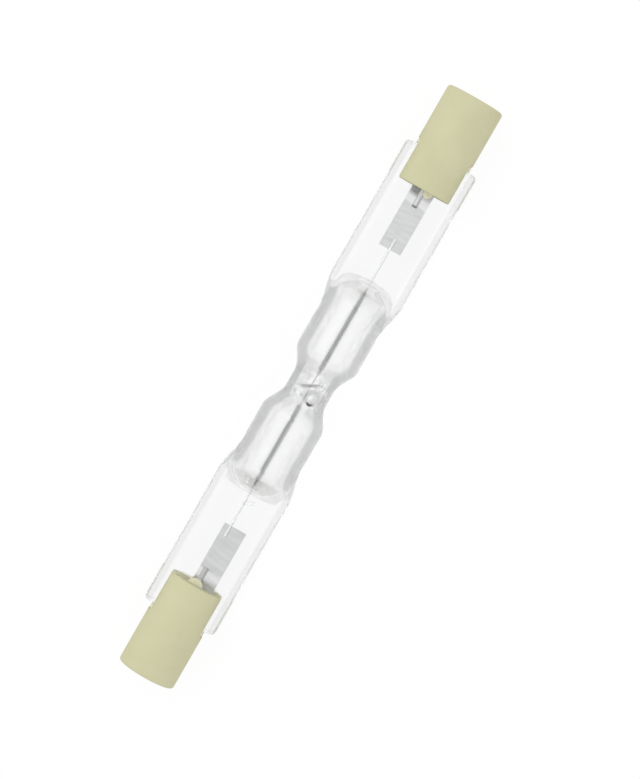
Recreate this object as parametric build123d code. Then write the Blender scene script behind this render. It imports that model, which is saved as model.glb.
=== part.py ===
from build123d import *

import os
from math import cos, pi, radians, sin

# A double-ended linear halogen bulb: a quartz tube drawn in to a waist at its middle, pressed flat at
# both ends over a metal foil, with a slotted ceramic cap cemented over each flat end.
# It lies along X with its pinch faces level. The origin is on the axis, midway between the contacts.
# Millimetres.

# Whole lamp
contact_spacing = 74.9  # between the two contact faces
recess_depth = 1.7  # from a cap's end down to its contact

# Quartz tube
tube_diameter = 8.0
tube_wall = 1.1
waist_diameter = 5.4
waist_wall = 1.4
shoulder_place = 2.7  # from the lamp's middle to the middle of a shoulder
shoulder_length = 3.2  # from the waist up to the tube
shoulder_steps = 4
taper_length = 4.3  # where the tube is pressed down to the pinch, wide and flat like a chisel
taper_spread = 0.5  # how much wider each side of the tube gets there
taper_dip = 0.1  # how far the taper ends below the pinch's face
taper_steps = 4

# The hollow inside the tube
hollow_shoulder_length = 3.2
hollow_shoulder_steps = 3
hollow_cone_length = 2.6
hollow_nose_diameter = 0.7
closed_end_thickness = 0.8  # from the hollow's end to the taper's end

# Sealed-off exhaust tip on the waist
tip_base_diameter = 2.8
tip_neck_diameter = 1.3
tip_neck_height = 0.6
tip_slope_height = 0.7
tip_end_diameter = 0.7
tip_end_height = 0.25
tip_below_tube = 0.15  # how far the tip stays under the tube's top
tip_bore_diameter = 0.8
tip_roof = 1.0  # quartz over the tip's bore
tip_place = (-0.8, -0.45)
tip_lean = 5.0

# Pinch seals: a thin web between two thicker beads
pinch_length = 16.35  # from the taper's end to the pinch's end
web_thickness = 2.3
bead_width = 0.95
bead_rise = 0.35  # above each face of the web
bead_bevel = 0.35
bead_gap = 0.15  # between a bead and the cap beside it
flare_length = 5.0  # where the tube spreads to the pinch's width
flare_setback = 1.3  # from the end of the flare to the taper's end
pinch_corner = 0.6

# Ceramic caps
cap_diameter = 7.3
slot_depth = 5.2
slot_floor_bevel = 0.45
cap_web = 1.35  # solid ceramic between the slot and the contact's shank
mouth_gap = 0.4  # around the contact's head
mouth_bevel = 0.25
cap_bevel = 0.3
hole_clearance = 0.05  # around the shank and the lead

# Contact buttons
head_diameter = 3.6
head_thickness = 1.1
head_bevel = 0.35
shank_diameter = 1.8
shank_length = 3.0
lead_hole_depth = 1.6

# Sealing foils, thinner at their long edges
foil_width = 2.9
foil_thickness = 0.06
foil_edge_thickness = 0.02
foil_feather = 0.5
foil_setback = 3.9  # from the taper's end to the foil
foil_end_margin = 2.7  # from the foil to the pinch's end
foil_shift = {"left": -0.65, "right": 0.0}  # each foil was sealed in a little off the axis

# Lead wires, flattened where they are welded to the foil
inner_lead_diameter = 0.3
inner_lead_overlap = 1.5
outer_lead_diameter = 0.6
outer_lead_overlap = 4.0
weld_flat = 0.06  # how deep the inner lead's flat is
crimp_depth = 0.5  # how far the filament's tail goes into the inner lead

# Filament: one wire, coiled in each chamber, with a straight stretch through the waist
wire_thickness = 0.16
coil_diameter = 0.6
coil_pitch_wanted = 1.0
coil_turn_corners = 8
coil_inset = 0.5  # from the shoulder's middle to the coil's first turn
coil_end_gap = 1.3  # from the coil to the hollow's end
tail_length = 0.9  # straight wire beyond the coil

# Wire loop that carries the filament's straight stretch: a ring, a leg and an eye
support_wire = 0.2
support_place = 0.9
ring_corners = 10
ring_opening = 60.0
eye_corners = 5
eye_opening = 90.0
eye_clearance = 0.1
leg_direction = 240.0

# Cement in the slots, with a little pressed out over the web
cement_film = 0.3
cement_end_gap = 0.75  # between the pinch's end and the slot's floor
tongue_reach = 0.75
tongue_height = 0.22
tongue_corner = 0.4
tongue_width = {"left": 1.9, "right": 1.3}
tongue_shift = {"left": 0.2, "right": -0.65}

# Places along X that follow from the sizes above
contact_face = contact_spacing / 2
cap_end = contact_face + recess_depth
head_seat = contact_face - head_thickness
shank_end = head_seat - shank_length
slot_floor = shank_end - cap_web
cap_start = slot_floor - slot_depth
pinch_end = slot_floor - cement_end_gap
taper_end = pinch_end - pinch_length
taper_start = taper_end - taper_length
hollow_end = taper_end - closed_end_thickness
flare_end = taper_end - flare_setback
flare_start = flare_end - flare_length
foil_start = taper_end + foil_setback
foil_end = pinch_end - foil_end_margin
coil_start = shoulder_place - coil_inset
coil_end = hollow_end - coil_end_gap
tail_end = coil_end + tail_length
lead_tip = shank_end + lead_hole_depth

# Radii and half sizes
tube_radius = tube_diameter / 2
waist_radius = waist_diameter / 2
waist_bore = waist_radius - waist_wall
cap_radius = cap_diameter / 2
web_half = web_thickness / 2
bead_half = web_half + bead_rise
bead_inside = cap_radius + bead_gap
pinch_half = bead_inside + bead_width
slot_half = web_half + cement_film
mouth_radius = head_diameter / 2 + mouth_gap
wire_radius = wire_thickness / 2
coil_radius = coil_diameter / 2 - wire_radius
foil_top = weld_flat - inner_lead_diameter / 2


def smooth(share):
    """A share from 0 to 1, changed so that it starts and ends gently."""
    return share**2 * (3 - 2 * share)


def shoulder(length, low, high, steps):
    """The corners of a smooth rise from the waist to the tube, level at both ends."""
    for step in range(steps + 1):
        share = step / steps
        yield shoulder_place + length * (share - 0.5), low + (high - low) * smooth(share)


def rod(start, end, radius):
    """A round bar on the lamp's axis, from one place along X to another."""
    return Plane.YZ.offset(start) * extrude(Circle(radius), end - start)


def block(x_range, y_range, z_range):
    """A box between two places along each axis."""
    lows, highs = zip(x_range, y_range, z_range)
    size = Vector(*highs) - Vector(*lows)
    return Pos(*lows) * Box(*size, align=Align.MIN)


def turned(outline):
    """A solid of revolution on the lamp's axis, from the outline of its +X half."""
    end = outline[-1][0]
    half = Polyline(*outline, (end, 0))
    whole = Curve() + [half, mirror(half, Plane.YZ), Line((-end, 0), (end, 0))]
    return revolve(make_face(whole), Axis.X)


def taper():
    """The end of the tube on the +X side, pressed down from round to wide and flat by even steps."""
    sections = []
    for step in range(taper_steps + 1):
        share = step / taper_steps
        half_width = tube_radius + taper_spread * share
        half_height = tube_radius + (web_half - taper_dip - tube_radius) * smooth(share)
        section = Ellipse(half_width, half_height)
        sections.append(Plane.YZ.offset(taper_start + taper_length * share) * section)
    return loft(sections, ruled=True)


def tube_outside():
    """The waist, and to each side of it a shoulder, a round chamber and the taper that closes it."""
    rise = shoulder(shoulder_length, waist_radius, tube_radius, shoulder_steps)
    body = turned([(0, waist_radius), *rise, (taper_start, tube_radius)])
    end = taper()
    return body + end + mirror(end, Plane.YZ)


def tube_hollow():
    """The gas space, which follows the outside with a thicker wall at the waist and ends in a cone."""
    bore = tube_radius - tube_wall
    rise = shoulder(hollow_shoulder_length, waist_bore, bore, hollow_shoulder_steps)
    cone = [(hollow_end - hollow_cone_length, bore), (hollow_end, hollow_nose_diameter / 2)]
    return turned([(0, waist_bore), *rise, *cone])


def on_the_waist(shape):
    """Stand a shape on the waist where the lamp was filled and sealed off."""
    return Pos(*tip_place) * Rot(X=tip_lean) * shape


def exhaust_tip():
    """The drawn-off stub of the filling tube: a foot, a slope, a neck and a melted end."""
    height = tube_radius - tip_below_tube
    neck_top = height - tip_end_height
    neck = neck_top - tip_neck_height
    foot = neck - tip_slope_height
    profile = Polyline(
        (0, 0),
        (tip_base_diameter / 2, 0),
        (tip_base_diameter / 2, foot),
        (tip_neck_diameter / 2, neck),
        (tip_neck_diameter / 2, neck_top),
        (tip_end_diameter / 2, height),
        (0, height),
        close=True,
    )
    return on_the_waist(revolve(Plane.XZ * make_face(profile), Axis.Z))


def exhaust_bore():
    """The hole that was left inside the stub, open to the waist."""
    height = tube_radius - tip_below_tube - tip_roof
    return on_the_waist(extrude(Circle(tip_bore_diameter / 2), height))


def bead_line():
    """The middle of a bead seen from above: it leaves the tube's wall and runs along the pinch."""
    root = (flare_start, tube_radius - tube_wall / 2 - bead_width / 2)
    level = (flare_end, pinch_half - bead_width / 2)
    spread = TangentArc(root, (Vector(*root) + Vector(*level)) / 2, tangent=(1, 0))
    settle = TangentArc(spread @ 1, level, tangent=spread % 1)
    return [spread, settle, Line(level, (pinch_end, level[1]))]


def pinch():
    """One pressed end, on the +X side: the web, its two beads and the rounded corners of its end."""
    line = bead_line()
    path = Wire(line)
    other_line = [mirror(edge, Plane.XZ) for edge in line]
    ends = [Line((point.X, -point.Y), (point.X, point.Y)) for point in (path @ 0, path @ 1)]
    pressed = extrude(make_face(line + other_line + ends), web_half, both=True)
    bar = chamfer(Rectangle(2 * bead_half, bead_width).vertices(), bead_bevel)
    bead = sweep(Plane(path @ 0, x_dir=(0, 0, 1), z_dir=path % 0) * bar, path)
    pressed += bead
    pressed += mirror(bead, Plane.XZ)
    limit = block((0, pinch_end), (-pinch_half, pinch_half), (-bead_half, bead_half))
    limit = fillet(limit.edges().filter_by(Axis.Z).group_by(Axis.X)[-1], pinch_corner)
    return pressed & limit


def foil(side):
    """A strip of foil with its long edges etched thin."""
    half_width = foil_width / 2
    flat_half = half_width - foil_feather
    half_thickness = foil_thickness / 2
    edge_half = foil_edge_thickness / 2
    corners = [(half_width, edge_half), (flat_half, half_thickness)]
    corners += [(-y, z) for y, z in reversed(corners)]
    corners += [(y, -z) for y, z in reversed(corners)]
    section = Plane.YZ.offset(foil_start) * Polygon(*corners, align=None)
    strip = extrude(section, foil_end - foil_start)
    return Pos(0, foil_shift[side], foil_top - half_thickness) * strip


def below_weld(start, end, radius):
    """What is pressed away under a lead where it lies on the foil."""
    return block((start, end), (-radius, radius), (-radius, foil_top))


def inner_lead():
    """The pin from the filament to the foil, crimped round the filament's tail."""
    radius = inner_lead_diameter / 2
    start = tail_end - crimp_depth
    end = foil_start + inner_lead_overlap
    return rod(start, end, radius) - below_weld(foil_start, end, radius)


def outer_lead():
    """The pin from the foil to the contact."""
    radius = outer_lead_diameter / 2
    start = foil_end - outer_lead_overlap
    return rod(start, lead_tip, radius) - below_weld(start, foil_end, radius)


def contact():
    """A button with a rounded face edge and a shank that takes the lead's end."""
    head = rod(head_seat, contact_face, head_diameter / 2)
    head = chamfer(head.edges().sort_by(Axis.X)[-1], head_bevel)
    shank = rod(shank_end, head_seat, shank_diameter / 2)
    return head + shank - rod(shank_end, lead_tip, outer_lead_diameter / 2)


def slot():
    """The space in a cap that the pinch goes into."""
    space = block((cap_start, slot_floor), (-cap_radius, cap_radius), (-slot_half, slot_half))
    floor_edges = space.edges().filter_by(Axis.Y).group_by(Axis.X)[-1]
    return chamfer(floor_edges, slot_floor_bevel)


def cap():
    """One slotted ceramic cap with its recess and the holes for the contact and the lead."""
    body = rod(cap_start, cap_end, cap_radius)
    body = chamfer(body.edges().sort_by(Axis.X)[-1], cap_bevel)
    body -= rod(contact_face, cap_end, mouth_radius)
    rim = body.edges().filter_by(GeomType.CIRCLE).group_by(Axis.X)[-1].sort_by(SortBy.RADIUS)[0]
    body = chamfer(rim, mouth_bevel)
    body -= rod(head_seat, contact_face, head_diameter / 2 + hole_clearance)
    body -= rod(shank_end, head_seat, shank_diameter / 2 + hole_clearance)
    body -= rod(slot_floor, shank_end, outer_lead_diameter / 2 + hole_clearance)
    return body - slot()


def cement(side):
    """The cement that fills a slot round the pinch, with the tongues that were pressed out."""
    filling = slot() & rod(cap_start, slot_floor, cap_radius)
    lump = Rectangle(2 * tongue_reach, tongue_width[side])
    lump = chamfer(lump.vertices(), tongue_corner)
    for face in (web_half, -web_half - tongue_height):
        filling += Pos(cap_start, tongue_shift[side], face) * extrude(lump, tongue_height)
    return filling


def coil_turns():
    """The corners of the +X coil, from its end by the waist to its outer end."""
    length = coil_end - coil_start
    turns = round(length / coil_pitch_wanted)
    steps = turns * coil_turn_corners
    for step in range(steps + 1):
        angle = 2 * pi * step / coil_turn_corners
        x = coil_start + length * step / steps
        yield Vector(x, coil_radius * cos(angle), coil_radius * sin(angle))


def filament():
    """One wire from tail to tail: each turn of its two coils is drawn as short straight runs."""
    half = [Vector(0, 0, 0), Vector(coil_start, 0, 0)]
    half += coil_turns()
    half += [Vector(coil_end, 0, 0), Vector(tail_end, 0, 0)]
    other_half = [Vector(-point.X, point.Y, point.Z) for point in half[:0:-1]]
    path = Polyline(*other_half, *half[1:])
    section = Plane(path @ 0, z_dir=(1, 0, 0)) * RegularPolygon(wire_radius, 6)
    return sweep(section, path, transition=Transition.RIGHT)


def bends(radius, opening, corners):
    """The corners of a round bend in the support, starting at its leg."""
    step = (360 - abs(opening)) / corners
    if opening < 0:
        step = -step
    for corner in range(corners + 1):
        angle = radians(leg_direction + step * corner)
        yield Vector(support_place, radius * cos(angle), radius * sin(angle))


def support():
    """The support, bent from one wire: its ring springs against the waist."""
    radius = support_wire / 2
    half_bend = radians((360 - ring_opening) / ring_corners / 2)
    ring = waist_bore - radius / cos(half_bend)
    eye = wire_radius + eye_clearance + radius
    corners = [*bends(ring, ring_opening, ring_corners)][::-1]
    corners += bends(eye, -eye_opening, eye_corners)
    path = Polyline(*corners)
    section = Plane(path @ 0, z_dir=path % 0) * RegularPolygon(radius, 6)
    return sweep(section, path, transition=Transition.RIGHT)


def on_side(side, shape):
    """A shape made for the +X end, taken to the end that it is for."""
    return mirror(shape, Plane.YZ) if side == "left" else shape


parts = {"filament": filament(), "filament_support": support()}
quartz = tube_outside() + exhaust_tip()
for side in ("left", "right"):
    quartz += on_side(side, pinch())
quartz -= tube_hollow()
quartz -= exhaust_bore()
for side in ("left", "right"):
    sealed_foil = on_side(side, foil(side))
    pin = on_side(side, inner_lead())
    outer_pin = on_side(side, outer_lead())
    quartz -= [sealed_foil, pin, outer_pin]
    parts[f"foil_{side}"] = sealed_foil
    parts[f"inner_lead_{side}"] = pin - parts["filament"]
    parts[f"outer_lead_{side}"] = outer_pin
    parts[f"contact_{side}"] = on_side(side, contact())
    parts[f"ceramic_cap_{side}"] = on_side(side, cap())
    parts[f"cement_{side}"] = on_side(side, cement(side)) - [quartz, sealed_foil, outer_pin]
parts["quartz_envelope"] = quartz

os.makedirs("parts", exist_ok=True)
for name, shape in parts.items():
    export_step(shape, f"parts/{name}.step")
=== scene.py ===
from math import cos, pi, radians, sin

import bpy
import numpy as np
from mathutils import Matrix, Vector


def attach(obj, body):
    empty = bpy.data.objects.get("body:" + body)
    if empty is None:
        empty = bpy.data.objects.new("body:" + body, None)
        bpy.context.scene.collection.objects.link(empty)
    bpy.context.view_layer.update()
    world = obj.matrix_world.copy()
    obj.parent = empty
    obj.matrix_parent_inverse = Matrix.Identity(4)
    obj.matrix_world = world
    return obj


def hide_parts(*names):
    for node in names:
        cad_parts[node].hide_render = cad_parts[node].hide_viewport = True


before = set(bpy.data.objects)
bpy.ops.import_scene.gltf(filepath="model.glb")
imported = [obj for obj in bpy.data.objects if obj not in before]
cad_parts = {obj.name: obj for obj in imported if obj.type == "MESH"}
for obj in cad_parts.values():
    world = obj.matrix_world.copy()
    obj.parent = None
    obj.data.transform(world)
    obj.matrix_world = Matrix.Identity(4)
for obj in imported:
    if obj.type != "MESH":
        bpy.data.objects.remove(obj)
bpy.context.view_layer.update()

# Quartz body: one length of fused-quartz tube, drawn in to a waist, left round as two chambers and pressed
# flat at both ends while it was soft, so that every form runs softly into the next. The filling tube was
# melted off on top of the waist, and one small bubble was caught in the left pinch.
mm = 0.001


def pick(piece):
    """Make one piece the only one selected, and the active one."""
    bpy.ops.object.select_all(action="DESELECT")
    piece.select_set(True)
    bpy.context.view_layer.objects.active = piece
    return piece


def mend(piece, inside=False):
    """Merge doubled points and point every face outwards, or inwards for the wall of a hollow."""
    pick(piece)
    bpy.ops.object.mode_set(mode="EDIT")
    bpy.ops.mesh.select_all(action="SELECT")
    bpy.ops.mesh.remove_doubles(threshold=1e-7)
    bpy.ops.mesh.normals_make_consistent(inside=inside)
    bpy.ops.object.mode_set(mode="OBJECT")
    return piece


def dress(piece, material):
    """Give a piece its one material."""
    piece.data.materials.clear()
    piece.data.materials.append(material)


def finish_with(piece, kind, **settings):
    """Give a piece one modifier and apply it."""
    modifier = pick(piece).modifiers.new(kind.lower(), kind)
    for setting, value in settings.items():
        setattr(modifier, setting, value)
    bpy.ops.object.modifier_apply(modifier=modifier.name)
    return piece


def combine(piece, tool, operation):
    """Cut a tool out of a piece or melt it in, and drop the tool."""
    finish_with(piece, "BOOLEAN", operation=operation, solver="MANIFOLD", object=tool)
    bpy.data.objects.remove(tool)
    return piece


def points_of(piece):
    """A mesh's points as rows of x, y and z in mm."""
    flat = np.empty(len(piece.data.vertices) * 3, np.float32)
    piece.data.vertices.foreach_get("co", flat)
    return flat.reshape(-1, 3).astype(float) / mm


def move_points(piece, points):
    """Put a mesh's points at rows of x, y and z in mm."""
    piece.data.vertices.foreach_set("co", (points * mm).astype(np.float32).ravel())
    piece.data.update()


def turn(name, outline, steps=96):
    """A form turned on the lamp's axis from its outline, which is pairs of place and radius in mm."""
    mesh = bpy.data.meshes.new(name)
    corners = [(place * mm, radius * mm, 0) for place, radius in outline]
    mesh.from_pydata(corners, [(n, n + 1) for n in range(len(corners) - 1)], [])
    piece = bpy.data.objects.new(name, mesh)
    bpy.context.scene.collection.objects.link(piece)
    pick(piece)
    bpy.ops.object.mode_set(mode="EDIT")
    bpy.ops.mesh.select_all(action="SELECT")
    bpy.ops.mesh.spin(steps=steps, angle=2 * pi, center=(0, 0, 0), axis=(1, 0, 0))
    bpy.ops.object.mode_set(mode="OBJECT")
    return mend(piece)


def eased(places, knots, reach):
    """Values along the lamp from knots joined by straight lines, with each corner eased over a reach."""
    shifts = np.linspace(-reach / 2, reach / 2, 31)
    xs, values = zip(*knots)
    samples = [np.interp(np.abs(places + shift), xs, values) for shift in shifts]
    return np.average(samples, axis=0, weights=np.hanning(33)[1:-1])


def smooth_step(value, start, end):
    """From 0 at the start to 1 at the end, eased at both."""
    share = np.clip((value - start) / (end - start), 0, 1)
    return share**2 * (3 - 2 * share)


def melted(one, other, reach):
    """The distance to two forms run softly into each other over a reach."""
    near = np.maximum(reach - np.abs(one - other), 0) / reach
    return np.minimum(one, other) - near**2 * reach / 4


def oval(y, z, half_width, half_height, squareness):
    """Roughly the distance to an oval section. A squareness of 2 is an ellipse, and more is squarer."""
    share = (np.abs(y / half_width)**squareness + np.abs(z / half_height)**squareness)**(1 / squareness)
    return (share - 1) * np.minimum(half_width, half_height)


def bar(y, z, half_width, half_height, corner):
    """The distance to a bar's section with rounded corners."""
    past_y = np.abs(y) - half_width + corner
    past_z = np.abs(z) - half_height + corner
    outside = np.hypot(np.maximum(past_y, 0), np.maximum(past_z, 0))
    return outside + np.minimum(np.maximum(past_y, past_z), 0) - corner


def rounding(past, radius):
    """How much a rounded corner has taken off, that far past its start."""
    return radius - np.sqrt(np.maximum(radius**2 - past**2, 0))


# Sizes are in mm. Knots are places along the lamp with the radius or the factor there, and flare is where
# the tube starts and ends spreading to the pinch's width.
tube_knots = [(0, 2.7), (1.2, 2.7), (2.0, 2.95), (3.4, 3.76), (4.1, 4.0)]
flare = (8.6, 13.6)
flare_foot = 3.9
pinch_half = 4.75
pinch_end = 31.25
pinch_corner = 0.6
end_rounding = 0.15
tube_gone = 17.5
web_half = 1.15
web_inset = 0.9
bead_half = 0.475
bead_squareness = 2.6


def pinch_outline(along):
    """Half the pinch's width, which grows out of the tube and is rounded off at the pinch's end."""
    corner = np.clip(along - (pinch_end - pinch_corner), 0, pinch_corner)
    spread = (pinch_half - flare_foot) * smooth_step(along, *flare)
    return flare_foot + spread - rounding(corner, pinch_corner)


def quartz_sections(x):
    """For places along the lamp, how far a point of each one's section is outside the quartz."""
    along = np.abs(x)
    right = x > 0
    radius = eased(x, tube_knots, 0.7)

    # The press flattened the tube to a chisel edge, longer and softer on the right than on the left.
    taper_start = np.where(right, 10.6, 11.0)
    taper_end = np.where(right, 16.0, 15.3)
    flat = smooth_step(along, taper_start, taper_end)
    half_height = radius + (np.where(right, 0.75, 0.9) - radius) * flat
    half_height = np.maximum(half_height - 0.4 * np.maximum(along - taper_end, 0), 0.05)
    half_width = radius + 0.25 * flat
    squareness = 2 + np.where(right, 0.45, 1.3) * smooth_step(along, taper_start, 13.4)

    bead_height = 0.9 + 0.6 * smooth_step(along, *flare)
    outline = pinch_outline(along)
    melt = 0.02 + 0.7 * smooth_step(along, flare[0], 12.5)
    inset = rounding(np.clip(along - (pinch_end - end_rounding), 0, end_rounding), end_rounding)

    def outside(y, z):
        tube = np.where(along > tube_gone, 9.0, oval(y, z, half_width, half_height, squareness))
        web = bar(y, z, outline - web_inset, web_half, 0.05)
        bead = oval(np.abs(y) - outline + bead_half, z, bead_half, bead_height, bead_squareness)
        pressed = melted(tube, melted(web, bead, 0.5), melt)
        pressed = np.maximum(pressed, np.abs(y) - outline)
        return np.where(along < flare[0], tube, pressed) + inset

    return outside


# Rings of points from the lamp's middle to the pinch's end, then inwards over its end face to a pole.
half_rings = np.concatenate([
    np.linspace(0, 4.6, 46, endpoint=False), np.linspace(4.6, 9.2, 12, endpoint=False),
    np.linspace(9.2, 15.4, 62, endpoint=False), np.linspace(15.4, 30.6, 25, endpoint=False),
    np.linspace(30.6, pinch_end, 14)])
face_shares = [0.9, 0.7, 0.4, 0.0]
half_rings = np.concatenate([half_rings, [pinch_end] * len(face_shares)])
ring_shares = np.concatenate([np.ones(len(half_rings) - len(face_shares)), face_shares])
middle = len(half_rings) - 1
bpy.ops.object.select_all(action="DESELECT")
bpy.ops.mesh.primitive_uv_sphere_add(
    segments=160, ring_count=2 * middle, radius=mm, rotation=(0, pi / 2, 0))
quartz = bpy.context.object
bpy.ops.object.transform_apply(location=True, rotation=True, scale=True)
start = points_of(quartz)
pole_angle = np.arctan2(np.hypot(start[:, 1], start[:, 2]), start[:, 0])
ring = np.rint(pole_angle / pi * 2 * middle).astype(int) - middle
x = -np.sign(ring) * half_rings[np.abs(ring)]

# Each point goes inwards along its own line until it meets the quartz. In the tube the lines lead to the
# axis. In the pinch the first part of each quarter fans round the bead, and the rest stands on the web.
round_angle = np.arctan2(start[:, 2], start[:, 1])
quarter = np.arcsin(np.minimum(np.abs(np.sin(round_angle)), 1)) / (pi / 2)
flatness = smooth_step(np.abs(x), *flare)
bead_share = 0.42
fan = np.minimum(quarter / bead_share, 1)
direction = ((1 - flatness) * quarter + flatness * fan) * pi / 2
foot_share = np.interp(quarter, [0, bead_share, 0.6, 1], [1, 1, 0.8, 0])
foot = flatness * (pinch_outline(np.abs(x)) - 0.5) * foot_share
outside = quartz_sections(x)
travel = np.full_like(x, 8.0)
for _ in range(60):
    travel -= outside(foot + travel * np.cos(direction), travel * np.sin(direction))
share = ring_shares[np.abs(ring)]
side_y = np.where(np.cos(round_angle) < 0, -1, 1)
side_z = np.where(np.sin(round_angle) < 0, -1, 1)
y = side_y * share * (foot + travel * np.cos(direction))
z = side_z * share * travel * np.sin(direction)
move_points(quartz, np.column_stack([x, y, z]))
mend(quartz)

# The sealed-off stub stands on the waist, leaning a little. The melt round its foot is smoothed.
tip_stand = (Matrix.Translation((-0.8 * mm, -0.45 * mm, 0)) @ Matrix.Rotation(radians(7), 4, "X")
             @ Matrix.Rotation(radians(-90), 4, "Y"))
tip_outline = [(1.1, 0), (1.1, 1.3), (1.9, 1.5), (2.3, 1.42), (2.55, 1.22), (2.75, 1.0), (2.95, 0.83),
               (3.15, 0.73), (3.35, 0.68), (3.5, 0.62), (3.64, 0.5), (3.74, 0.34), (3.79, 0.17), (3.8, 0)]
tip = turn("tip", tip_outline, 72)
tip.data.transform(tip_stand)
combine(quartz, tip, "UNION")
here = points_of(quartz)
height = here[:, 2]
away = np.hypot(here[:, 0] + 0.8, here[:, 1] + 0.6)
rim = (height > 1.3) & (height < 3.0) & (away > 0.95) & (away < 1.95)
pick(quartz)
quartz.data.polygons.foreach_set("select", np.zeros(len(quartz.data.polygons), bool))
quartz.data.edges.foreach_set("select", np.zeros(len(quartz.data.edges), bool))
quartz.data.vertices.foreach_set("select", rim)
bpy.ops.object.mode_set(mode="EDIT")
bpy.ops.mesh.vertices_smooth(factor=0.5, repeat=6)
bpy.ops.object.mode_set(mode="OBJECT")

# The gas space and the bubble are walls that face inwards, so they are made apart and joined on. The
# chambers' ends were pressed wide together with the quartz round them.
hollow_knots = [(0, 1.3), (1.2, 1.3), (2.0, 1.6), (3.3, 2.6), (4.1, 2.9), (10.4, 2.9), (11.4, 2.65),
                (12.4, 1.9), (13.2, 1.1), (13.9, 0.5), (14.3, 0.2)]
hollow_spread = [(10.4, 1), (11.4, 1.12), (12.4, 1.6), (13.2, 2.3), (14.1, 2.8)]
places = np.concatenate([np.linspace(0, 4.6, 46), np.linspace(4.9, 11.0, 16), np.linspace(11.2, 13.8, 27)])
radii = eased(places, hollow_knots, 0.8)
half = list(zip(places, radii))
nose = 0.3
end_angles = np.linspace(0.15, 1, 7) * pi / 2
half += [(places[-1] + nose * sin(angle), radii[-1] * cos(angle)) for angle in end_angles[:-1]] + [(14.1, 0)]
hollow = turn("hollow", [(-place, radius) for place, radius in half[:0:-1]] + half, 96)
at = points_of(hollow)
at[:, 1] *= eased(at[:, 0], hollow_spread, 0.8)
move_points(hollow, at)
bore = turn("bore", [(0, 0), (0, 0.4), (2.3, 0.4), (2.6, 0.36), (2.76, 0.25), (2.82, 0)], 40)
bore.data.transform(tip_stand)
combine(hollow, bore, "UNION")
bpy.ops.object.select_all(action="DESELECT")
bpy.ops.mesh.primitive_uv_sphere_add(segments=32, ring_count=20, radius=mm)
bubble = bpy.context.object
bubble.data.transform(Matrix.Translation((-15.4 * mm, -0.5 * mm, 0.35 * mm))
                      @ Matrix.Rotation(radians(-65), 4, "Z") @ Matrix.Diagonal((0.8, 0.3, 0.2, 1)))


class Value:
    """An output socket of a finish's node. Sums with it add Math nodes."""

    def __init__(self, finish, socket):
        self.finish = finish
        self.socket = socket

    def math(self, operation, *others):
        return self.finish.add("ShaderNodeMath", {"operation": operation}, dict(enumerate((self, *others))))

    def __add__(self, other):
        return self.math("ADD", other)

    def __sub__(self, other):
        return self.math("SUBTRACT", other)

    def __rsub__(self, other):
        return self.math("MULTIPLY_ADD", -1.0, other)

    def __mul__(self, other):
        return self.math("MULTIPLY", other)

    __radd__ = __add__
    __rmul__ = __mul__


class Finish:
    """One material of the lamp."""

    def __init__(self, name, tree=None):
        self.material = None if tree else bpy.data.materials.new(name)
        if self.material:
            self.material.use_nodes = True
        self.tree = tree or self.material.node_tree
        self.tree.nodes.clear()

    def add(self, kind, settings=None, inputs=None, output=0):
        """Add a node: its settings first, then the values or links of its sockets."""
        node = self.tree.nodes.new(kind)
        for setting, value in (settings or {}).items():
            if setting == "stops":
                for n, (place, shade) in enumerate(value):
                    stop = node.color_ramp.elements[n] if n < 2 else node.color_ramp.elements.new(place)
                    stop.position = place
                    stop.color = (*shade, 1) if isinstance(shade, tuple) else (shade, shade, shade, 1)
            else:
                setattr(node, setting, value)
        for name, value in (inputs or {}).items():
            if isinstance(value, Value):
                self.tree.links.new(value.socket, node.inputs[name])
            else:
                node.inputs[name].default_value = value
        return Value(self, node.outputs[output]) if node.outputs else None

    def place(self):
        return self.add("ShaderNodeTexCoord", output="Object")

    def part(self, where, axis):
        """One coordinate of a place, in metres."""
        return self.add("ShaderNodeSeparateXYZ", {}, {"Vector": where}, axis)

    def distance(self, where, point):
        """How far a place is from a point given in mm, in metres."""
        inputs = {0: where, 1: [place * mm for place in point]}
        return self.add("ShaderNodeVectorMath", {"operation": "DISTANCE"}, inputs, "Value")

    def noise(self, where, scale, detail=3.0, roughness=0.55):
        """Cloudy variation from 0 to 1, with that many cells in a metre."""
        inputs = {"Vector": where, "Scale": scale, "Detail": detail, "Roughness": roughness}
        return self.add("ShaderNodeTexNoise", {}, inputs, "Fac")

    def stretched(self, where, factors):
        """Places scaled along each axis. A factor below 1 stretches a pattern."""
        return self.add("ShaderNodeMapping", {}, {"Vector": where, "Scale": factors})

    def ramp(self, value, *stops):
        """Greys or colours between stops from 0 to 1."""
        return self.add("ShaderNodeValToRGB", {"stops": stops}, {"Fac": value}, "Color")

    def mixed(self, share, one, other):
        """One colour, with a share of the other."""
        return self.add("ShaderNodeMix", {"data_type": "RGBA"}, {"Factor": share, 6: one, 7: other}, 2)

    def multiplied(self, one, other):
        settings = {"data_type": "RGBA", "blend_type": "MULTIPLY"}
        return self.add("ShaderNodeMix", settings, {"Factor": 1.0, 6: one, 7: other}, 2)

    def relief(self, height, depth):
        """A bump of that real depth in metres."""
        return self.add("ShaderNodeBump", {}, {"Height": height, "Distance": depth, "Strength": 1.0})

    def show(self, shader):
        self.add("ShaderNodeOutputMaterial", {}, {"Surface": shader})
        return self.material


# Factors that bring a place in metres to a ramp's 0 to 1, which then stand for 5 or 20 mm.
per_5_mm = 200
per_20_mm = 50


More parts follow.
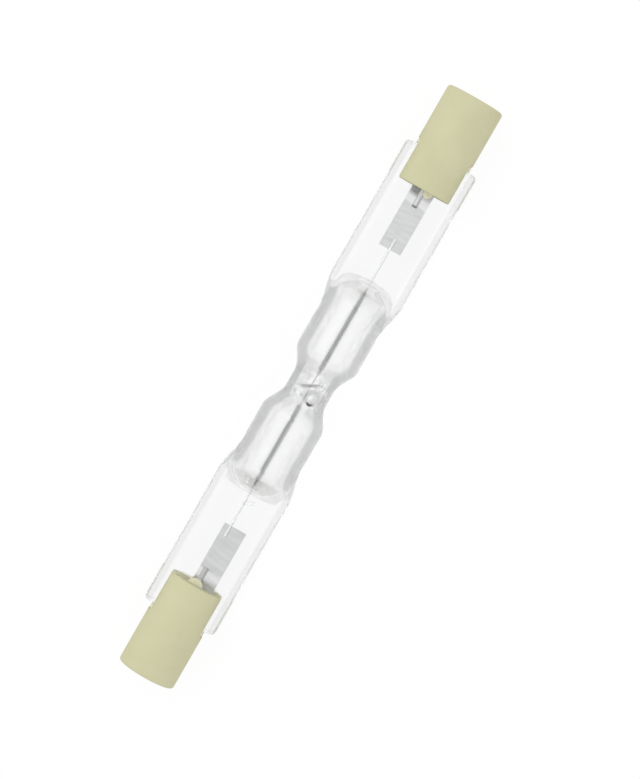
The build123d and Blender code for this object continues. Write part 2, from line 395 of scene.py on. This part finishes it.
def quartz_finish(name, tint_and_painted_shade, alpha, spot=None):
    """Clear quartz with drawing lines along the tube, partly see-through. Shadow rays pass it."""
    glass = Finish(name)
    where = glass.place()
    # The colour carries the outside wall's painted shade, or the inside wall's faint grey clouds.
    colour = tint_and_painted_shade(glass, where)
    cover = alpha
    if spot:
        # A spot of painted shade darkens the glass and makes it less see-through there.
        clear = spot(glass, where)
        colour = glass.multiplied(colour, clear)
        cover = 1 - clear * (1 - alpha)
    waves = glass.noise(glass.stretched(where, (0.25, 1, 1)), 420, 2.0)
    lines = glass.noise(glass.stretched(where, (0.04, 1, 1)), 2600, 2.0)
    off_the_beads = glass.ramp(glass.part(where, "Y").math("ABSOLUTE") * per_5_mm, (0.68, 1.0), (0.8, 0.0))
    body = glass.add("ShaderNodeBsdfPrincipled", {}, {
        "Base Color": colour, "Roughness": 0.02, "IOR": 1.458, "Transmission Weight": 1.0, "Alpha": cover,
        "Normal": glass.relief((waves + lines * 0.05) * off_the_beads, 0.02 * mm)})
    through = glass.add("ShaderNodeBsdfTransparent", {}, {"Color": (0.95, 0.955, 0.955, 1)})
    shadow = glass.add("ShaderNodeLightPath", output="Is Shadow Ray")
    return glass.show(glass.add("ShaderNodeMixShader", {}, {0: shadow, 1: body, 2: through}))


def outside_painted_shade(glass, where):
    """Painted shade: grey where the wall is seen edge on, along the pinch's beads and in the worked waist.

    The painted shade only darkens light that comes in from outside.
    """
    # Painted shade: the wall is painted darker grey the more edge on it is seen.
    facing = glass.add("ShaderNodeLayerWeight", {}, {"Blend": 0.5}, "Facing")
    aside = glass.part(where, "Y").math("ABSOLUTE")
    along = glass.part(where, "X").math("ABSOLUTE")
    wall = glass.ramp(facing, (0.0, (0.79, 0.8, 0.8)), (0.06, (0.77, 0.78, 0.78)), (0.2, (0.48, 0.49, 0.49)),
                      (0.34, (0.2, 0.21, 0.21)), (0.5, (0.08, 0.085, 0.085)), (0.75, (0.08, 0.085, 0.085)),
                      (0.95, (0.35, 0.36, 0.36)))
    at_taper = glass.ramp(along * per_20_mm, (0.62, 0.0), (0.68, 0.65))
    wall = glass.mixed(at_taper, wall, (0.8, 0.81, 0.81, 1))

    # The painted shade along the beads starts closer to the axis in the flare, and the beads' outermost edge
    # is left clear.
    flared = glass.ramp(along * per_20_mm, (0.47, 0.0), (0.53, 1.0))
    at_bead = glass.ramp(aside * per_5_mm + flared * 0.08, (0.83, 0.0), (0.87, 1.0))
    rim = glass.ramp(along * per_20_mm, (0.43, 0.78), (0.52, 0.825), (0.59, 0.905), (0.68, 0.95))
    bead = glass.ramp(aside * per_5_mm - rim + 0.5, (0.47, (0.5, 0.51, 0.51)), (0.485, (0.97, 0.97, 0.97)))
    wall = glass.mixed(at_bead, wall, bead)

    # Clouds and specks of painted shade darken the worked waist.
    at_waist = glass.ramp(along * per_5_mm, (0.25, 1.0), (0.56, 0.0))
    clouds = glass.ramp(glass.noise(where, 900, 2.0), (0.3, (0.2, 0.21, 0.21)), (0.5, (0.5, 0.51, 0.51)),
                        (0.62, 1.0))
    specks = glass.ramp(glass.noise(where, 1500, 1.0), (0.29, 0.05), (0.33, 1.0))
    waist_painted_shade = glass.multiplied(glass.multiplied(wall, clouds), specks)
    wall = glass.mixed(at_waist, wall, waist_painted_shade)
    leaving = glass.add("ShaderNodeNewGeometry", output="Backfacing")
    return glass.mixed(leaving, wall, (1, 1, 1, 1))


def inside_tint(glass, where):
    """Hardly any grey, in faint clouds."""
    return glass.ramp(glass.noise(where, 300), (0.3, 0.88), (0.7, 0.96))


def painted_shade_spot(glass, where):
    """Painted shade: dark at one side of the stub's foot, and 1 elsewhere."""
    apart = glass.distance(where, (-1.55, -0.9, 2.95))
    return glass.ramp(apart * 1000 + glass.noise(where, 1500) * 0.2, (0.42, 0.02), (0.58, 1.0))


outer_glass = quartz_finish("fused_quartz", outside_painted_shade, 0.5, painted_shade_spot)
inner_glass = quartz_finish("fused_quartz_inside", inside_tint, 0.4)
for piece, glass in ((quartz, outer_glass), (hollow, inner_glass), (bubble, inner_glass)):
    dress(piece, glass)
for wall in (hollow, bubble):
    mend(wall, inside=True)
pick(quartz)
hollow.select_set(True)
bubble.select_set(True)
bpy.ops.object.join()
quartz.name = "quartz_body"
bpy.ops.object.shade_smooth_by_angle(angle=radians(60))
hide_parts("quartz_envelope")
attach(quartz, "root")

# Filament: tungsten wire wound into a fine primary coil, and that wound again into one coil in each
# chamber. It runs straight through the waist and ends in straight tails crimped into the inner leads.
coil_start = 2.2
coil_end = 12.8
tail_end = 13.7
turns = 30
coil_radius = 0.235
primary_radius = 0.07
straight_radius = 0.03
primary_pitch = 0.085
fine_wire = 0.026


def coiled_line():
    """The fine wire's line from the lamp's middle to a tail's end, as rows of x, y and z in mm."""
    share = np.linspace(0, 1, 20 * turns)
    full = np.minimum(1, np.minimum(share, 1 - share) * turns)
    x = np.concatenate([[0], coil_start + (coil_end - coil_start) * share, [tail_end]])
    angle = 2 * pi * turns * np.concatenate([[0], share, [1]])
    radius = coil_radius * np.concatenate([[0], full, [0]])
    steps = np.hypot(np.hypot(np.diff(x), np.diff(radius)), radius[1:] * np.diff(angle))
    length = np.concatenate([[0], np.cumsum(steps)])
    place = np.arange(0, length[-1], primary_pitch / 8)
    x, angle, radius = (np.interp(place, length, values) for values in (x, angle, radius))
    outward = np.column_stack([np.zeros_like(x), np.cos(angle), np.sin(angle)])
    middle = np.column_stack([x, radius * np.cos(angle), radius * np.sin(angle)])
    onward = np.gradient(middle, axis=0)
    onward /= np.linalg.norm(onward, axis=1)[:, None]
    sideways = np.cross(onward, outward)
    phase = 2 * pi * place[:, None] / primary_pitch
    reach = np.interp(x, [coil_start - 0.2, coil_start + 0.2], [straight_radius, primary_radius])[:, None]
    return middle + reach * (np.cos(phase) * outward + np.sin(phase) * sideways)


def wound_wire(name, line, radius, corners):
    """A round wire along a line of points in mm, as a mesh."""
    curve = bpy.data.curves.new(name, "CURVE")
    curve.dimensions = "3D"
    curve.bevel_depth = radius * mm
    curve.bevel_resolution = corners
    curve.use_fill_caps = True
    spline = curve.splines.new("POLY")
    spline.points.add(len(line) - 1)
    for point, place in zip(spline.points, line):
        point.co = (*(Vector(place) * mm), 1)
    piece = bpy.data.objects.new(name, curve)
    bpy.context.scene.collection.objects.link(piece)
    pick(piece)
    bpy.ops.object.convert(target="MESH")
    bpy.ops.object.shade_smooth()
    return bpy.context.object


half = coiled_line()
other_half = half[:0:-1] * (-1, 1, 1)
filament = wound_wire("filament_wire", np.concatenate([other_half, half]), fine_wire, 0)
metal = Finish("tungsten")
where = metal.place()
windings = metal.add("ShaderNodeTexWave", {"bands_direction": "X"}, {
    "Vector": where, "Scale": 3500, "Distortion": 2.0, "Detail": 2.0, "Detail Scale": 4.0}, "Fac")
soot = metal.noise(where, 1500)
tone = metal.ramp(windings * 0.6 + soot * 0.4, (0.2, (0.36, 0.365, 0.37)), (0.8, (0.64, 0.645, 0.65)))
surface = metal.add("ShaderNodeBsdfPrincipled", {}, {
    "Base Color": tone, "Metallic": 1.0, "Roughness": 0.45 + soot * 0.2,
    "Normal": metal.relief(windings, 0.02 * mm)})
dress(filament, metal.show(surface))
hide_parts("filament")
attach(filament, "root")

# Filament support: one piece of molybdenum wire, bent into a ring that springs against the waist's
# bore, a leg, and an eye that the filament's straight stretch goes through.
support_x = 0.9
ring_radius = 1.19
eye_radius = 0.27
leg_angle = radians(240)
ring_line = [(support_x, ring_radius * cos(radians(angle)), ring_radius * sin(radians(angle)))
             for angle in range(180, -121, -6)]
leg_line = [(support_x + 0.02 * n, radius * cos(leg_angle), radius * sin(leg_angle))
            for n, radius in enumerate((0.95, 0.7, 0.45))]
eye_line = [(support_x + 0.06, eye_radius * cos(radians(angle)), eye_radius * sin(radians(angle)))
            for angle in range(-120, 151, 10)]
askew = [(x - 0.6 - 0.5 * y + 0.15 * z, y, z) for x, y, z in ring_line + leg_line + eye_line]
support = wound_wire("support_wire", askew, 0.1, 4)


def drawn_metal(name, dark, light, roughness):
    """Drawn wire: fine lines along it, and a thin uneven grey skin."""
    metal = Finish(name)
    where = metal.place()
    lines = metal.noise(metal.stretched(where, (0.03, 1, 1)), 16000, 3.0)
    skin = metal.noise(where, 900)
    surface = metal.add("ShaderNodeBsdfPrincipled", {}, {
        "Base Color": metal.ramp(lines * 0.35 + skin * 0.65, (0.25, dark), (0.75, light)), "Metallic": 1.0,
        "Roughness": roughness + skin * 0.15, "Normal": metal.relief(lines, 0.004 * mm)})
    return metal.show(surface)


dress(support, drawn_metal("molybdenum_wire", (0.5, 0.5, 0.51), (0.62, 0.62, 0.63), 0.4))
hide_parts("filament_support")
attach(support, "root")

# Sealing foils: molybdenum foil, etched thin along its edges so that the quartz grips it. It was sealed in
# when the pinch was pressed, and the press left faint waves across it.
foil_shift = {"left": -0.65, "right": 0.0}
foil_from = 18.8
foil_to = 28.55
foil_half = 1.45
foil_middle_z = -0.12
foil_thickness = 0.04
signs = {"left": -1, "right": 1}

metal = Finish("molybdenum_foil")
where = metal.place()
bands = metal.noise(metal.stretched(where, (1, 0.12, 1)), 1300, 2.0)
cloud = metal.noise(where, 500)
tone = metal.ramp(bands * 0.55 + cloud * 0.45, (0.25, (0.57, 0.58, 0.58)), (0.75, (0.7, 0.71, 0.71)))
rough_edge = metal.noise(where, 1100, 2.0) * 0.06

# A brighter band lies where the outer lead is welded on, and a patch of painted shade darkens the right foil
# there.
along = metal.part(where, "X").math("ABSOLUTE")
brighter_band = metal.ramp(along * 100 + rough_edge - 2.03, (0.47, 0.0), (0.485, 0.85), (0.57, 0.7), (0.6, 0.0))
tone = metal.mixed(brighter_band, tone, (0.8, 0.8, 0.81, 1))
apart = metal.distance(where, (26.9, 0.6, 0))
painted_shade_patch = metal.ramp(apart * 400 + rough_edge, (0.3, 0.85), (0.56, 0.0))
tone = metal.mixed(painted_shade_patch, tone, (0.27, 0.28, 0.28, 1))
surface = metal.add("ShaderNodeBsdfPrincipled", {}, {
    "Base Color": tone, "Metallic": 1.0, "Roughness": 0.3 + cloud * 0.2,
    "Normal": metal.relief(bands, 0.02 * mm)})
foil_metal = metal.show(surface)
for side, sign in signs.items():
    bpy.ops.object.select_all(action="DESELECT")
    bpy.ops.mesh.primitive_grid_add(x_subdivisions=64, y_subdivisions=16, size=2 * mm)
    foil = bpy.context.object
    at = points_of(foil)
    wave = 0.012 * np.sin(at[:, 0] * 17) + 0.008 * np.sin(at[:, 0] * 41 + 2 * at[:, 1])
    at[:, 0] = sign * (foil_from + (at[:, 0] + 1) / 2 * (foil_to - foil_from))
    at[:, 2] = foil_middle_z + wave
    at[:, 1] = at[:, 1] * foil_half + foil_shift[side]
    move_points(foil, at)
    mend(foil)
    finish_with(foil, "SOLIDIFY", thickness=foil_thickness * mm, offset=0)
    foil.name = f"sealing_foil_{side}"
    dress(foil, foil_metal)
    bpy.ops.object.shade_smooth_by_angle(angle=radians(40))
    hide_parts(f"foil_{side}")
    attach(foil, "root")

# Lead wires: drawn molybdenum pins, pressed flat where they are welded to the foil. The thin inner one
# takes the filament's tail, and the thick outer one ends in the contact.
foil_top = -0.09


def pin(name, start, end, radius, weld_from, weld_to):
    """A round pin with softened ends, flat against the foil between two places."""
    ease = radius * 0.3
    corner = ease * 0.3
    start_rim = [(start, 0), (start, radius - ease), (start + corner, radius - corner),
                 (start + ease, radius)]
    end_rim = [(end - ease, radius), (end - corner, radius - corner), (end, radius - ease), (end, 0)]
    barrel = [(place, radius) for place in np.linspace(start + 2 * ease, end - 2 * ease, 40)]
    piece = turn(name, start_rim + barrel + end_rim, 28)
    at = points_of(piece)
    welded = (at[:, 0] > weld_from) & (at[:, 0] < weld_to)
    at[:, 2] = np.where(welded, np.maximum(at[:, 2], foil_top), at[:, 2])
    at[:, 1] = np.where(welded & (at[:, 2] < 0), at[:, 1] * 1.12, at[:, 1])
    move_points(piece, at)
    return piece


def both_ends(right, node):
    """Finish the right-hand piece, and mirror a copy of it for the left end."""
    left = right.copy()
    left.data = right.data.copy()
    bpy.context.scene.collection.objects.link(left)
    left.data.transform(Matrix.Diagonal((-1, 1, 1, 1)))
    left.data.flip_normals()
    for piece, side in ((right, "right"), (left, "left")):
        piece.name = f"{node}_piece_{side}"
        pick(piece)
        bpy.ops.object.shade_smooth_by_angle(angle=radians(40))
        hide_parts(f"{node}_{side}")
        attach(piece, "root")


inner = pin("inner", start=13.2, end=20.3, radius=0.15, weld_from=18.8, weld_to=20.4)
dress(inner, drawn_metal("bright_wire", (0.9, 0.905, 0.905), (0.97, 0.97, 0.97), 0.5))
both_ends(inner, "inner_lead")
outer = pin("outer", start=24.55, end=34.95, radius=0.3, weld_from=24.5, weld_to=28.55)

# Painted shade: the inner end of the right outer lead, where it is welded to the foil, is painted dark.
metal = Finish("welded_wire")
where = metal.place()
shade_along = metal.part(where, "X") * 100 + metal.noise(where, 900) * 0.05 - 2.0
painted_shade_end = metal.ramp(shade_along, (0.0, 0.8), (0.3, 0.8), (0.4, 0.2), (0.48, 0.2), (0.52, 1.0))
tone = metal.ramp(metal.noise(where, 700), (0.3, (0.64, 0.65, 0.65)), (0.7, (0.77, 0.77, 0.78)))
surface = metal.add("ShaderNodeBsdfPrincipled", {}, {
    "Base Color": metal.multiplied(tone, painted_shade_end), "Metallic": 0.6, "Roughness": 0.5})
dress(outer, metal.show(surface))
both_ends(outer, "outer_lead")

# Contacts: turned nickel-plated buttons. The face is slightly domed, and the shank behind it is crimped
# round the outer lead.
contact_face = 37.45
contact_outline = [
    (36.35, 0.3), (33.35, 0.3), (33.35, 0.85), (33.4, 0.9), (36.35, 0.9), (36.35, 1.72), (36.42, 1.79),
    (36.55, 1.8), (37.0, 1.8), (37.12, 1.77), (37.24, 1.68), (37.33, 1.55), (37.38, 1.35), (37.41, 1.0),
    (37.43, 0.6), (contact_face, 0.45), (contact_face, 0)]
contact = turn("contact", contact_outline)
metal = Finish("nickel_plate")
where = metal.place()
turned_lines = metal.add("ShaderNodeTexWave", {"wave_type": "RINGS", "rings_direction": "X"},
                         {"Vector": where, "Scale": 2500, "Distortion": 0.6, "Detail": 2.0}, "Fac")
tarnish = metal.noise(where, 700, 4.0)
surface = metal.add("ShaderNodeBsdfPrincipled", {}, {
    "Base Color": metal.ramp(tarnish, (0.3, (0.55, 0.53, 0.48)), (0.6, (0.74, 0.73, 0.7))), "Metallic": 1.0,
    "Roughness": 0.18 + tarnish * 0.25, "Normal": metal.relief(turned_lines, 0.004 * mm)})
dress(contact, metal.show(surface))
both_ends(contact, "contact")

# Ceramic caps: pressed and fired steatite, unglazed. Each is a round plug with a recess for the contact at
# its outer end and a slot across its inner end, which the flat pinch is cemented into.
cap_start = 26.8
cap_end = 39.15
cap_radius = 3.65
slot_floor = 32.0
slot_half = 1.45
mouth_radius = 2.2
inner_round = 0.12
outer_round = 0.35
mouth_round = 0.25
bends = [(cos(angle), sin(angle)) for angle in np.linspace(0, pi / 2, 6)]
inner_edge = [(cap_start + inner_round * (1 - c), cap_radius - inner_round * (1 - s)) for c, s in bends]
outer_edge = [(cap_end - outer_round * (1 - s), cap_radius - outer_round * (1 - c)) for c, s in bends]
mouth_edge = [(cap_end - mouth_round * (1 - c), mouth_radius + mouth_round * (1 - s)) for c, s in bends]
contact_seat = [
    (contact_face + 0.06, mouth_radius), (contact_face, 2.14), (contact_face, 1.86), (36.3, 1.85),
    (36.3, 0.95), (slot_floor - 0.5, 0.95), (slot_floor - 0.5, 0)]
cap = turn("cap", [(cap_start, 0)] + inner_edge + outer_edge + mouth_edge + contact_seat, 128)
bpy.ops.object.select_all(action="DESELECT")
bpy.ops.mesh.primitive_cube_add(size=2 * mm)
slot_tool = bpy.context.object
slot_reach = slot_floor - cap_start + 1
slot_tool.data.transform(Matrix.Translation(((slot_floor - slot_reach / 2) * mm, 0, 0))
                         @ Matrix.Diagonal((slot_reach / 2, 5, slot_half, 1)))
at = points_of(slot_tool)
pick(slot_tool)
bpy.ops.object.mode_set(mode="EDIT")
bpy.ops.mesh.select_all(action="DESELECT")
bpy.ops.object.mode_set(mode="OBJECT")
for edge in slot_tool.data.edges:
    one, other = (at[corner] for corner in edge.vertices)
    on_floor = min(one[0], other[0]) > slot_floor - 0.01
    edge.select = bool(on_floor and one[2] == other[2])
bpy.ops.object.mode_set(mode="EDIT")
bpy.ops.mesh.bevel(offset=0.45 * mm, segments=6)
bpy.ops.object.mode_set(mode="OBJECT")
combine(cap, slot_tool, "DIFFERENCE")
finish_with(cap, "BEVEL", width=0.07 * mm, segments=2, limit_method="ANGLE", angle_limit=radians(50))

clay = Finish("steatite")
where = clay.place()
grain = clay.noise(where, 9000, 4.0, 0.65)
cloud = clay.noise(where, 260)
pits = clay.ramp(clay.noise(where, 4200, 2.0), (0.28, 0.0), (0.36, 1.0))
tone = clay.ramp(cloud * 0.6 + grain * 0.4, (0.3, (0.515, 0.498, 0.31)), (0.7, (0.572, 0.556, 0.362)))
surface = clay.add("ShaderNodeBsdfPrincipled", {}, {
    "Base Color": tone, "Roughness": 0.62 + grain * 0.2, "Specular IOR Level": 0.3,
    "Normal": clay.relief(grain * 0.5 + pits, 0.012 * mm)})
dress(cap, clay.show(surface))
both_ends(cap, "ceramic_cap")

# Cement: a mineral paste that was pressed into the slot round the pinch and baked hard. A little of it
# stands out over the quartz at the slot's mouth.
tongue_width = {"left": 1.9, "right": 1.3}
tongue_shift = {"left": 0.2, "right": -0.65}
cement_radius = 3.58


def block(name, x_range, y_half, z_range):
    """A block between two places along the lamp and two heights."""
    bpy.ops.object.select_all(action="DESELECT")
    bpy.ops.mesh.primitive_cube_add(size=2 * mm)
    piece = bpy.context.object
    size_x = (x_range[1] - x_range[0]) / 2
    size_z = (z_range[1] - z_range[0]) / 2
    piece.data.transform(Matrix.Translation((sum(x_range) / 2 * mm, 0, sum(z_range) / 2 * mm))
                         @ Matrix.Diagonal((size_x, y_half, size_z, 1)))
    piece.name = name
    return piece


paste = Finish("cement")
where = paste.place()
grit = paste.noise(where, 6000, 5.0, 0.7)
surface = paste.add("ShaderNodeBsdfPrincipled", {}, {
    "Base Color": paste.ramp(grit, (0.3, (0.6, 0.585, 0.42)), (0.7, (0.76, 0.74, 0.56))), "Roughness": 0.9,
    "Specular IOR Level": 0.2, "Normal": paste.relief(grit, 0.03 * mm)})
paste_finish = paste.show(surface)
for side, sign in signs.items():
    x_range = sorted((sign * (cap_start + 0.05), sign * (slot_floor - 0.05)))
    cement = turn("cement", [(x_range[0], 0), (x_range[0], cement_radius), (x_range[1], cement_radius),
                             (x_range[1], 0)])
    combine(cement, block("slot", (x_range[0] - 1, x_range[1] + 1), 5, (-slot_half, slot_half)), "INTERSECT")
    gap_range = sorted((sign * (cap_start - 1), sign * pinch_end))
    combine(cement, block("gap", gap_range, 5, (-1.08, 1.08)), "DIFFERENCE")
    for face in (-1, 1):
        bpy.ops.object.select_all(action="DESELECT")
        bpy.ops.mesh.primitive_uv_sphere_add(segments=32, ring_count=20, radius=mm)
        lump = bpy.context.object
        lump.data.transform(Matrix.Translation((sign * 26.85 * mm, tongue_shift[side] * mm, face * 1.15 * mm))
                            @ Matrix.Diagonal((0.78, tongue_width[side] / 2, 0.24, 1)))
        combine(cement, lump, "UNION")
    finish_with(cement, "REMESH", mode="VOXEL", voxel_size=0.09 * mm)
    finish_with(cement, "SMOOTH", factor=0.5, iterations=3)
    cement.name = f"slot_cement_{side}"
    dress(cement, paste_finish)
    pick(cement)
    bpy.ops.object.shade_smooth()
    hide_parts(f"cement_{side}")
    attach(cement, "root")

# Floor: a wide sheet of plain white card. Most of what the camera sees of it is its own plain white, and
# the rest keeps the lamp's faint shadow.
floor_z = -4.0
bpy.ops.object.select_all(action="DESELECT")
bpy.ops.mesh.primitive_plane_add(size=4, location=(0, 0, floor_z * mm))
floor = bpy.context.object
floor.name = "floor"
bpy.ops.object.transform_apply(location=True, rotation=True, scale=True)


def seen_rays(finish):
    """1 for the camera's rays and for those that shine off the lamp or pass through it."""
    camera, glossy, passing = (finish.add("ShaderNodeLightPath", output=f"Is {kind} Ray")
                               for kind in ("Camera", "Glossy", "Transmission"))
    return (camera + glossy + passing).math("MINIMUM", 1.0)


card = Finish("white_card")
matt = card.add("ShaderNodeBsdfDiffuse", {}, {"Color": (0.93, 0.93, 0.93, 1)})
plain = card.add("ShaderNodeEmission", {}, {"Color": (1, 1, 1, 1), "Strength": 1.0})
dress(floor, card.show(card.add("ShaderNodeMixShader", {}, {0: seen_rays(card) * 0.93, 1: matt, 2: plain})))

# Light: an even white surround, as in a light tent, with one large and weak soft box above the upper left
# of the picture.
world = bpy.data.worlds.new("light_tent")
bpy.context.scene.world = world
world.use_nodes = True
tent = Finish("light_tent", world.node_tree)
around = tent.add("ShaderNodeBackground", {}, {"Color": (1, 1, 1, 1), "Strength": 1.0})
tent.add("ShaderNodeOutputWorld", {}, {"Surface": around})
lamp_data = bpy.data.lights.new("soft_box", "AREA")
lamp_data.size = 0.35
lamp_data.energy = 0.6
soft_box = bpy.data.objects.new("soft_box", lamp_data)
bpy.context.scene.collection.objects.link(soft_box)
soft_box.location = (0.1, 0.3, 0.45)
soft_box.rotation_euler = (-soft_box.location).to_track_quat("-Z", "Y").to_euler()

# Camera: almost straight above, nearer to the right end, with the lamp running from lower left to upper
# right of the picture.
camera_data = bpy.data.cameras.new("camera")
camera = bpy.data.objects.new("camera", camera_data)
bpy.context.scene.collection.objects.link(camera)
stand = Vector((19.5, -1.1, 380)) * mm
target = Vector((0.434, -1.111, 0)) * mm
upwards = Vector((0.867, 0.498, 0))
back = (stand - target).normalized()
across = upwards.cross(back).normalized()
turned = Matrix((across, back.cross(across), back)).transposed().to_4x4()
camera.matrix_world = Matrix.Translation(stand) @ turned
camera_data.lens = 149
camera_data.sensor_width = 36
camera_data.clip_start = 0.01
bpy.context.scene.camera = camera
bpy.context.scene.view_settings.view_transform = "Standard"

bpy.context.view_layer.update()
